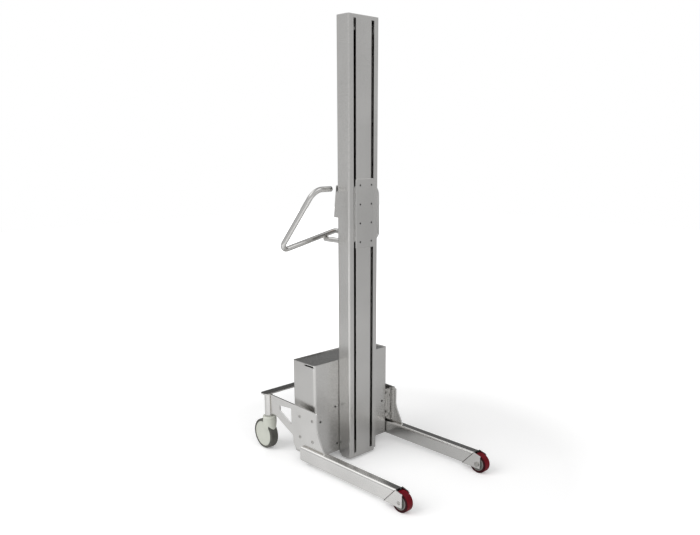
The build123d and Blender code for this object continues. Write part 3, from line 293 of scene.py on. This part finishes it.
# Makes a piece out of a mesh under construction
def makePiece(name, bm, finish, ridesOn, standsFor=()):
    bmesh.ops.recalc_face_normals(bm, faces=bm.faces)
    mesh = bpy.data.meshes.new(name)
    bm.to_mesh(mesh)
    bm.free()
    for face in mesh.polygons:
        face.use_smooth = True
    mesh.set_sharp_from_angle(angle=crispAngle)
    mesh.materials.append(finish)
    piece = bpy.data.objects.new(name, mesh)
    bpy.context.scene.collection.objects.link(piece)
    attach(piece, ridesOn)
    if standsFor:
        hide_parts(*standsFor)
    return piece


# Stands a turned shape at a place in millimetres, with its axis along a direction
def standAlong(place, axis):
    return Matrix.Translation(Vector(place) * mm) @ Vector(axis).to_track_quat("Z", "Y").to_matrix().to_4x4()


# Joins rows of points with faces, and either fills the first and last row or joins them to each other
def skinRows(bm, rows, closed=False):
    for lower, upper in zip(rows, rows[1:] + rows[:1] if closed else rows[1:]):
        for i in range(len(lower)):
            k = (i + 1) % len(lower)
            bm.faces.new((lower[i], lower[k], upper[k], upper[i]))
    if not closed:
        bm.faces.new(rows[0])
        bm.faces.new(rows[-1])


# Turns a shape from rings of (distance from the axis, height). A ring marked "hex" is a hexagon, and its distance is
# half the width across flats.
def addTurned(bm, stand, rings, around=24, closed=False):
    rows = []
    for distance, level, *form in rings:
        row = []
        for i in range(around):
            angle = tau * i / around
            reach = distance / cos((angle + pi / 6) % (pi / 3) - pi / 6) if form else distance
            row.append(bm.verts.new(stand @ (Vector((reach * cos(angle), reach * sin(angle), level)) * mm)))
        rows.append(row)
    skinRows(bm, rows, closed)


# Button screw: the socket in shares of the key's and the head's size, the dome in steps, the nut in shares of the
# shank, and chamfers in millimetres
screwForm = {"floorWide": 0.55, "floorHigh": 0.18, "wallHigh": 0.34, "lipHigh": 0.93, "flatWide": 1.28,
             "rimHigh": 0.22, "domeSteps": 5, "nutWide": 1.56, "nutFace": 0.94, "nutChamfer": 0.7,
             "threadWide": 1.04, "grooveWide": 0.96, "grooveDeep": 0.6, "tipWide": 0.8, "tipChamfer": 0.5}


def addButtonScrew(bm, place, axis, screw):
    form = screwForm
    high, grip = screw["headHigh"], screw["grip"]
    head, key, shank = screw["head"] / 2, screw["key"] / 2, screw["shank"] / 2
    flat = key * form["flatWide"]
    rings = [(key * form["floorWide"], high * form["floorHigh"], "hex"), (key, high * form["wallHigh"], "hex"),
             (key, high * form["lipHigh"], "hex"), (flat, high)]
    for step in range(1, form["domeSteps"] + 1):
        angle = step / form["domeSteps"] * pi / 2
        rise = form["rimHigh"] + (1 - form["rimHigh"]) * cos(angle)
        rings.append((flat + (head - flat) * sin(angle), high * rise))
    rings += [(head, 0), (shank, 0)]
    end = -grip - screw["nut"]
    if screw["nut"] > 0:
        half = shank * form["nutWide"]
        face, chamfer = half * form["nutFace"], form["nutChamfer"]
        rings += [(shank, -grip), (face, -grip), (half, -grip - chamfer, "hex"), (half, end + chamfer, "hex"),
                  (face, end), (shank * form["threadWide"], end),
                  (shank * form["grooveWide"], end + form["grooveDeep"]), (shank * form["tipWide"], end)]
    else:
        rings += [(shank, end + form["tipChamfer"]), (shank - form["tipChamfer"], end)]
    addTurned(bm, standAlong(place, axis), rings)


# Screws in millimetres: their sizes, where they stand on the side of positive X, and the way their heads look there.
# The other side mirrors it.
plateScrew = {"head": 13, "headHigh": 2.5, "key": 5, "shank": 8, "grip": 9, "nut": 6.5, "looks": (1, 0, 0),
              "places": [(225, 72.1, 112.4), (225, 72.1, 198), (225, 146.3, 112.4), (225, 146.3, 198)]}
hangerScrew = {"head": 16, "headHigh": 4.5, "key": 5, "shank": 8, "grip": 5, "nut": 6.5, "looks": (-1, 0, 0),
               "places": [(198, 100.3, 155.2), (198, 146.3, 155.2)]}
mastScrew = {"head": 14, "headHigh": 4.4, "key": 5, "shank": 8, "grip": 4.5, "nut": 6.5, "looks": (0, -1, 0),
             "places": [(30, 79.8, 161), (30, 79.8, 361)]}
bracketScrew = {"head": 11, "headHigh": 3.3, "key": 4, "shank": 6, "grip": 7.5, "nut": 5, "looks": (0, 1, 0),
                "places": [(22, 87.3, 857.4), (22, 87.3, 889.4)]}
coverScrew = {"head": 9.5, "headHigh": 2.7, "key": 3.2, "shank": 5, "grip": 2, "nut": 0, "looks": (0, -1, 0),
              "places": [(94, 82.3, 222), (86, 82.3, 63), (173, 82.3, 178)]}
rollerBolt = {"head": 14.4, "headHigh": 1.5, "key": 6, "shank": 12, "grip": 40, "nut": 5, "looks": (1, 0, 0),
              "places": [(242, -397.7, 37.5)]}
for name, node, screws, finish in (("side_plate_screws", "chassis_bolts", (plateScrew, hangerScrew), brightZinc),
                                   ("mast_screws", "mast_bolts", (mastScrew, bracketScrew), brightZinc),
                                   ("cover_screws", "housing_screws", (coverScrew,), blackedScrewsAndHoleShade),
                                   ("roller_bolts", "load_roller_axles", (rollerBolt,), brightZinc)):
    bm = bmesh.new()
    for side in (-1, 1):
        for screw in screws:
            across, along, up = screw["looks"]
            for x, y, z in screw["places"]:
                addButtonScrew(bm, (side * x, y, z), (side * across, along, up), screw)
    makePiece(name, bm, finish, nodes[node]["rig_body"], (node,))
print("screws made")

# End plates that close the hanger channels beside the housing, in millimetres, with rounded corners and an eased
# front edge
hangerEnd = {"near": 200.3, "far": 215.7, "low": 96.3, "high": 221.5, "back": 91.2, "thick": 2, "round": 2.5,
             "ease": 0.4, "cornerSteps": 3}
middleX, middleZ = (hangerEnd["near"] + hangerEnd["far"]) / 2, (hangerEnd["low"] + hangerEnd["high"]) / 2
front, ease, bend = hangerEnd["back"] - hangerEnd["thick"], hangerEnd["ease"], hangerEnd["round"]
bm = bmesh.new()
for side in (-1, 1):
    rows = []
    for shrink, y in ((ease, front), (0, front + ease), (0, hangerEnd["back"])):
        reachX = hangerEnd["far"] - middleX - bend - shrink
        reachZ = hangerEnd["high"] - middleZ - bend - shrink
        row = []
        for quarter, (outX, outZ) in enumerate(((1, 1), (-1, 1), (-1, -1), (1, -1))):
            for step in range(hangerEnd["cornerSteps"] + 1):
                angle = (quarter + step / hangerEnd["cornerSteps"]) * pi / 2
                spot = Vector((side * (middleX + outX * reachX + bend * cos(angle)), y,
                               middleZ + outZ * reachZ + bend * sin(angle)))
                row.append(bm.verts.new(spot * mm))
        rows.append(row)
    skinRows(bm, rows)
makePiece("hanger_ends", bm, groundStainlessUp, "chassis")
print("hanger channels closed")

# How every weld bead is drawn: millimetres between its rings, points round each, and the thin end's share
beadForm = {"step": 0.8, "around": 8, "endShare": 0.45}


# Points a short step apart on a straight run, or round a circle square to an axis
def straightRun(start, end):
    start, end = Vector(start), Vector(end)
    count = max(2, round((end - start).length / beadForm["step"]))
    return [start.lerp(end, i / count) for i in range(count + 1)]


def roundRun(centre, axis, distance):
    turn = Vector(axis).to_track_quat("Z", "Y")
    count = round(tau * distance / beadForm["step"])
    return [Vector(centre) + turn @ Vector((distance * cos(tau * i / count), distance * sin(tau * i / count), 0))
            for i in range(count)]


# Weld bead: a half-sunk roll of metal whose thickness ripples once for each drop of the weld pool
def addBead(bm, run, bead, closed=False):
    around = beadForm["around"]
    rows = []
    for i, spot in enumerate(run):
        before = run[i - 1] if i > 0 or closed else run[0]
        after = run[(i + 1) % len(run)] if i + 1 < len(run) or closed else run[-1]
        turn = (after - before).to_track_quat("Z", "Y")
        travelled = i * (run[1] - run[0]).length
        reach = bead["half"] * (1 + bead["ripple"] * sin(tau * travelled / bead["pitch"]))
        if not closed and i in (0, len(run) - 1):
            reach *= beadForm["endShare"]
        row = []
        for j in range(around):
            angle = tau * j / around
            row.append(bm.verts.new((spot + turn @ Vector((reach * cos(angle), reach * sin(angle), 0))) * mm))
        rows.append(row)
    skinRows(bm, rows, closed)


# Side plates to legs and stems, and stems to crossbar, in millimetres. A straight run goes from one (Y, Z) to another
# on each of the plate's two faces.
frameBead = {"half": 1.9, "ripple": 0.12, "pitch": 2.4, "plateFaces": (219, 225), "onLeg": ((9, 81), (126, 81)),
             "onStem": ((330.6, 163), (330.6, 240)), "stemTop": (222, 347.3, 243.8), "stemReach": 17.2}
bm = bmesh.new()
for side in (-1, 1):
    for x in frameBead["plateFaces"]:
        for start, end in (frameBead["onLeg"], frameBead["onStem"]):
            addBead(bm, straightRun((side * x, *start), (side * x, *end)), frameBead)
    x, y, z = frameBead["stemTop"]
    addBead(bm, roundRun((side * x, y, z), (0, 0, 1), frameBead["stemReach"]), frameBead, closed=True)
makePiece("frame_welds", bm, weldMetal, "chassis")

# Handle bracket's arms to their plate
armBead = {"half": 1.6, "ripple": 0.12, "pitch": 2.4, "middle": (45, 87.5, 873.4), "reach": 10.2}
bm = bmesh.new()
for side in (-1, 1):
    x, y, z = armBead["middle"]
    addBead(bm, roundRun((side * x, y, z), (0, 1, 0), armBead["reach"]), armBead, closed=True)
makePiece("arm_welds", bm, weldMetal, "chassis")

# Nose plates to the legs' sloping ends, on the inner and outer side of each leg, down a slope from one (Y, Z) to
# another
noseBead = {"half": 1.3, "ripple": 0.08, "pitch": 2.4, "plateFaces": (202, 242),
            "slope": ((-380.4, 80), (-328.2, 22))}
bm = bmesh.new()
for side in (-1, 1):
    for x in noseBead["plateFaces"]:
        start, end = noseBead["slope"]
        addBead(bm, straightRun((side * x, *start), (side * x, *end)), noseBead)
# The nose welds take the dark finish, painted shade of the gap along the seam
makePiece("nose_welds", bm, noseSeamShadeWeld, "chassis")
print("welds made")

# Dark cups in the tool plate's holes, painted shade that darkens the holes, in millimetres: the grid of holes, then
# half a cut through one cup as (distance from the axis, height over the plate), from its floor over its proud rim to
# its foot
paintedHoleShade = {"across": 58, "rows": 69, "shift": 5.5, "level": 978,
          "rings": [(2.2, -5.0), (2.5, -5.0), (2.5, 0.1), (2.7, 0.3), (3.5, 0.3), (3.7, 0.02), (3.35, 0.02),
                    (3.35, -5.6)]}
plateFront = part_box("tool_plate")[0].y / mm
bm = bmesh.new()
for column in (-0.5, 0.5):
    for row in (-1.5, -0.5, 0.5, 1.5):
        spot = (paintedHoleShade["shift"] + column * paintedHoleShade["across"], plateFront, paintedHoleShade["level"] + row * paintedHoleShade["rows"])
        addTurned(bm, standAlong(spot, (0, -1, 0)), paintedHoleShade["rings"])
# Dark finish on the cups: painted shade in the tool plate's holes
makePiece("plate_hole_shade_cups", bm, blackedScrewsAndHoleShade, "carriage")
print("tool plate dressed")

# Control box, in millimetres over its leaning face: places of the two push buttons and the stop button, and half
# cuts through a bezel and through the stop button's collar as (distance from the axis, height)
panel = {"lean": 6.527, "middle": (0, 109.55, 1021), "buttons": ((-30, 22), (-30, -10)), "stop": (30, 4),
         "bezel": [(9.7, -0.6), (9.7, 1.1), (10.1, 1.5), (11.4, 1.5), (12.3, 1.1), (12.6, 0.4), (12.6, -0.6)],
         "collar": [(7.6, -0.6), (7.6, 0.3), (16, 0.3), (16.5, 1.2), (18.6, 1.2), (19.3, 0.6), (19.3, -0.6)],
         "collarPoints": 36, "screwAcross": 56, "screwUp": 49}
panelScrew = {"head": 6, "headHigh": 1.8, "key": 2.2, "shank": 3, "grip": 2.4, "nut": 0}
panelTurn = Matrix.Rotation(radians(panel["lean"]), 3, "X")
outward = panelTurn @ Vector((0, 1, 0))


def onPanel(across, up):
    return Vector(panel["middle"]) + panelTurn @ Vector((across, 0, up))


bm = bmesh.new()
for across, up in panel["buttons"]:
    addTurned(bm, standAlong(onPanel(across, up), outward), panel["bezel"], closed=True)
makePiece("button_bezels", bm, blackPolyamide, "chassis")
bm = bmesh.new()
addTurned(bm, standAlong(onPanel(*panel["stop"]), outward), panel["collar"], panel["collarPoints"], closed=True)
makePiece("stop_collar", bm, yellowAcetal, "chassis")
bm = bmesh.new()
for across in (-panel["screwAcross"], panel["screwAcross"]):
    for up in (-panel["screwUp"], panel["screwUp"]):
        addButtonScrew(bm, onPanel(across, up), outward, panelScrew)
makePiece("panel_screws", bm, brightZinc, "chassis")

# Charging inlet: contact pins with round tips on a circle in the socket, with half a cut through one pin
inletPins = {"middle": (120, 200.3, 336), "circle": 6.5, "count": 3, "around": 16,
             "rings": [(1.8, -1), (1.8, 7.8), (1.44, 8.6), (0.72, 9)]}
bm = bmesh.new()
for i in range(inletPins["count"]):
    angle = pi / 2 + tau * i / inletPins["count"]
    spot = Vector(inletPins["middle"]) + Vector((cos(angle), 0, sin(angle))) * inletPins["circle"]
    addTurned(bm, standAlong(spot, (0, 1, 0)), inletPins["rings"], inletPins["around"])
makePiece("inlet_pins", bm, brass, "chassis")
print("control box and inlet dressed")

# Two fixed directions, level with the floor: left and near, as the photograph shows the trolley
toLeft, toFront = (-0.707, 0.707, 0), (-0.707, -0.707, 0)

# Floor, in metres. To the camera it glows white far out and keeps soft shadows close in. Metal sees it without the
# glow, in painted grey bands of light and shade from right to left, painted lighter in front, and with a painted
# shadow under the trolley.
floorLook = {"half": 9.0, "cells": 4, "shade": 0.92,
             "glowNear": 0.22, "glowFar": 1.0, "glowFrom": 0.8, "glowTo": 2.4,
             "bands": [(-3.0, 0.74), (-0.6, 0.74), (0.4, 0.82), (1.0, 0.77), (1.5, 0.8), (2.0, 0.52), (3.4, 0.4),
                       (7.0, 0.4)],
             "front": 1.0, "frontReach": 0.6, "paintedShadeAt": (0.2, -0.2, 0), "paintedShadeReach": 0.6, "paintedShadeShare": 0.78}
bm = bmesh.new()
bmesh.ops.create_grid(bm, x_segments=floorLook["cells"], y_segments=floorLook["cells"], size=floorLook["half"])
floorMesh = bpy.data.meshes.new("floor")
bm.to_mesh(floorMesh)
bm.free()
floor = bpy.data.objects.new("floor", floorMesh)
bpy.context.scene.collection.objects.link(floor)
floorMaterial, tree = newMaterial("paleStudioFloor")
place = addNode(tree, "TexCoord").outputs["Object"]
rays = addNode(tree, "LightPath")
# Painted light and shade of the floor as metal sees it: grey bands from right to left, lighter in front
leftward = addNode(tree, "VectorMath", {"operation": "DOT_PRODUCT", 1: toLeft}, {0: place}).outputs["Value"]
first, last = floorLook["bands"][0][0], floorLook["bands"][-1][0]
along = addNode(tree, "MapRange", {"From Min": first, "From Max": last}, {"Value": leftward}).outputs["Result"]
bands = addNode(tree, "ValToRGB", None, {"Fac": along})
for distance, grey in floorLook["bands"]:
    element = bands.color_ramp.elements.new((distance - first) / (last - first))
    element.color = (grey, grey, grey, 1)
bands.color_ramp.elements.remove(bands.color_ramp.elements[0])  # the two stops that a new ramp starts with
bands.color_ramp.elements.remove(bands.color_ramp.elements[-1])
nearward = addNode(tree, "VectorMath", {"operation": "DOT_PRODUCT", 1: toFront}, {0: place}).outputs["Value"]
inFront = addNode(tree, "MapRange", {"From Min": 0.0, "From Max": floorLook["frontReach"]},
                  {"Value": nearward}).outputs["Result"]
mirrored = addNode(tree, "Mix", {"data_type": "FLOAT", 3: floorLook["front"]},
                   {0: inFront, 2: bands.outputs["Color"]}).outputs[0]
# Painted shadow under the trolley: darkest at this point, fading out over its reach
fromPaintedShade = addNode(tree, "VectorMath", {"operation": "DISTANCE", 1: floorLook["paintedShadeAt"]}, {0: place}).outputs["Value"]
paintedShadeFactor = addNode(tree, "MapRange", {"From Min": 0.0, "From Max": floorLook["paintedShadeReach"],
                                    "To Min": floorLook["paintedShadeShare"], "To Max": 1.0},
                 {"Value": fromPaintedShade}).outputs["Result"]
mirrored = addNode(tree, "Math", {"operation": "MULTIPLY"}, {0: mirrored, 1: paintedShadeFactor}).outputs[0]
shade = addNode(tree, "Mix", {"data_type": "FLOAT", 2: floorLook["shade"]},
                {0: rays.outputs["Is Glossy Ray"], 3: mirrored}).outputs[0]
floorShade = addNode(tree, "BsdfDiffuse", None, {"Color": shade})
away = addNode(tree, "VectorMath", {"operation": "LENGTH"}, {0: place}).outputs["Value"]
glowRise = addNode(tree, "MapRange", {"From Min": floorLook["glowFrom"], "From Max": floorLook["glowTo"],
                                      "To Min": floorLook["glowNear"], "To Max": floorLook["glowFar"]},
                   {"Value": away}).outputs["Result"]
glow = addNode(tree, "Math", {"operation": "MULTIPLY"}, {0: rays.outputs["Is Camera Ray"], 1: glowRise}).outputs[0]
floorGlow = addNode(tree, "Emission", {"Color": (1, 1, 1, 1)}, {"Strength": glow})
finishMaterial(tree, addNode(tree, "AddShader", None, {0: floorShade.outputs[0], 1: floorGlow.outputs[0]}))
floorMesh.materials.append(floorMaterial)

# Room, white to the camera. Metal sees pale walls, paler in front, a bright strip high up on either side, and a dark
# curtain behind the trolley. Each part has its grey and the levels of a direction where it begins and is full.
room = {"fill": 0.5, "wallRight": 0.58, "wallLeft": 0.62,
        "front": 0.68, "frontFrom": 0.1, "frontFull": 0.8,
        "high": 1.4, "highFrom": 0.45, "highFull": 0.7, "sideFrom": 0.2, "sideFull": 0.5,
        "curtain": 0.1, "behindFrom": -0.2, "behindFull": -0.6, "hemFrom": 0.1, "hemFull": 0.3,
        "topFrom": 0.85, "topFull": 0.7}
world = bpy.data.worlds.new("studioRoom")
bpy.context.scene.world = world
world.use_nodes = True
tree = world.node_tree
tree.nodes.clear()
direction = addNode(tree, "TexCoord").outputs["Generated"]
height = addNode(tree, "SeparateXYZ", None, {0: direction}).outputs["Z"]
leftward = addNode(tree, "VectorMath", {"operation": "DOT_PRODUCT", 1: toLeft}, {0: direction}).outputs["Value"]
nearward = addNode(tree, "VectorMath", {"operation": "DOT_PRODUCT", 1: toFront}, {0: direction}).outputs["Value"]
sideways = addNode(tree, "Math", {"operation": "ABSOLUTE"}, {0: leftward}).outputs[0]
shares = {}
for part, source in (("front", nearward), ("high", height), ("side", sideways), ("behind", nearward),
                     ("hem", height), ("top", height)):
    shares[part] = addNode(tree, "MapRange", {"From Min": room[part + "From"], "From Max": room[part + "Full"]},
                           {"Value": source}).outputs["Result"]
walls = addNode(tree, "MapRange", {"From Min": -1.0, "From Max": 1.0, "To Min": room["wallRight"],
                                   "To Max": room["wallLeft"]}, {"Value": leftward}).outputs["Result"]
reflected = addNode(tree, "Mix", {"data_type": "FLOAT", 3: room["front"]}, {0: shares["front"], 2: walls}).outputs[0]
curtain = addNode(tree, "Math", {"operation": "MULTIPLY"}, {0: shares["behind"], 1: shares["hem"]}).outputs[0]
curtain = addNode(tree, "Math", {"operation": "MULTIPLY"}, {0: curtain, 1: shares["top"]}).outputs[0]
reflected = addNode(tree, "Mix", {"data_type": "FLOAT", 3: room["curtain"]}, {0: curtain, 2: reflected}).outputs[0]
strips = addNode(tree, "Math", {"operation": "MULTIPLY"}, {0: shares["high"], 1: shares["side"]}).outputs[0]
reflected = addNode(tree, "Mix", {"data_type": "FLOAT", 3: room["high"]}, {0: strips, 2: reflected}).outputs[0]
rays = addNode(tree, "LightPath")
lit = addNode(tree, "Mix", {"data_type": "FLOAT", 2: room["fill"]},
              {0: rays.outputs["Is Glossy Ray"], 3: reflected}).outputs[0]
shown = addNode(tree, "Mix", {"data_type": "FLOAT", 3: 1.0}, {0: rays.outputs["Is Camera Ray"], 2: lit}).outputs[0]
glow = addNode(tree, "Background", {"Color": (1, 1, 1, 1)}, {"Strength": shown})
output = addNode(tree, "OutputWorld")
tree.links.new(glow.outputs[0], output.inputs["Surface"])

# Soft boxes, in metres and watts: where each stands, what it faces, its side and its power
lamps = {
    "keyBox": {"place": (-4.2, 1.4, 3.6), "aim": (0, 0, 0.5), "size": 4.4, "power": 158},
    "frontBox": {"place": (-2.6, -4.4, 3.4), "aim": (0, 0, 0.6), "size": 4.4, "power": 96},
}
for name, lamp in lamps.items():
    light = bpy.data.lights.new(name, "AREA")
    light.size = lamp["size"]
    light.energy = lamp["power"]
    holder = bpy.data.objects.new(name, light)
    bpy.context.scene.collection.objects.link(holder)
    holder.visible_glossy = False  # metal mirrors the room alone, so no lamp shows as a patch
    holder.location = lamp["place"]
    holder.rotation_euler = (Vector(lamp["aim"]) - Vector(lamp["place"])).to_track_quat("-Z", "Y").to_euler()
print("stage and lamps set")

# Camera at the photograph's place: millimetres and degrees, and pixels of the 700 by 535 picture
view = {"place": (-1890.2, -1890.5, 1227.0), "pitch": 15.225, "yaw": -44.265, "focal": 714.98,
        "centre": (358.09, 338.67), "width": 700, "height": 535, "sensor": 36.0}
cameraData = bpy.data.cameras.new("photoCamera")
cameraData.sensor_width = view["sensor"]
cameraData.lens = view["focal"] / view["width"] * view["sensor"]
cameraData.shift_x = (view["width"] / 2 - view["centre"][0]) / view["width"]
cameraData.shift_y = (view["centre"][1] - view["height"] / 2) / view["width"]
camera = bpy.data.objects.new("photoCamera", cameraData)
bpy.context.scene.collection.objects.link(camera)
camera.location = [value * mm for value in view["place"]]
camera.rotation_euler = (radians(90 - view["pitch"]), 0, radians(view["yaw"]))
bpy.context.scene.camera = camera
bpy.context.scene.view_settings.view_transform = "Standard"
print("camera set")
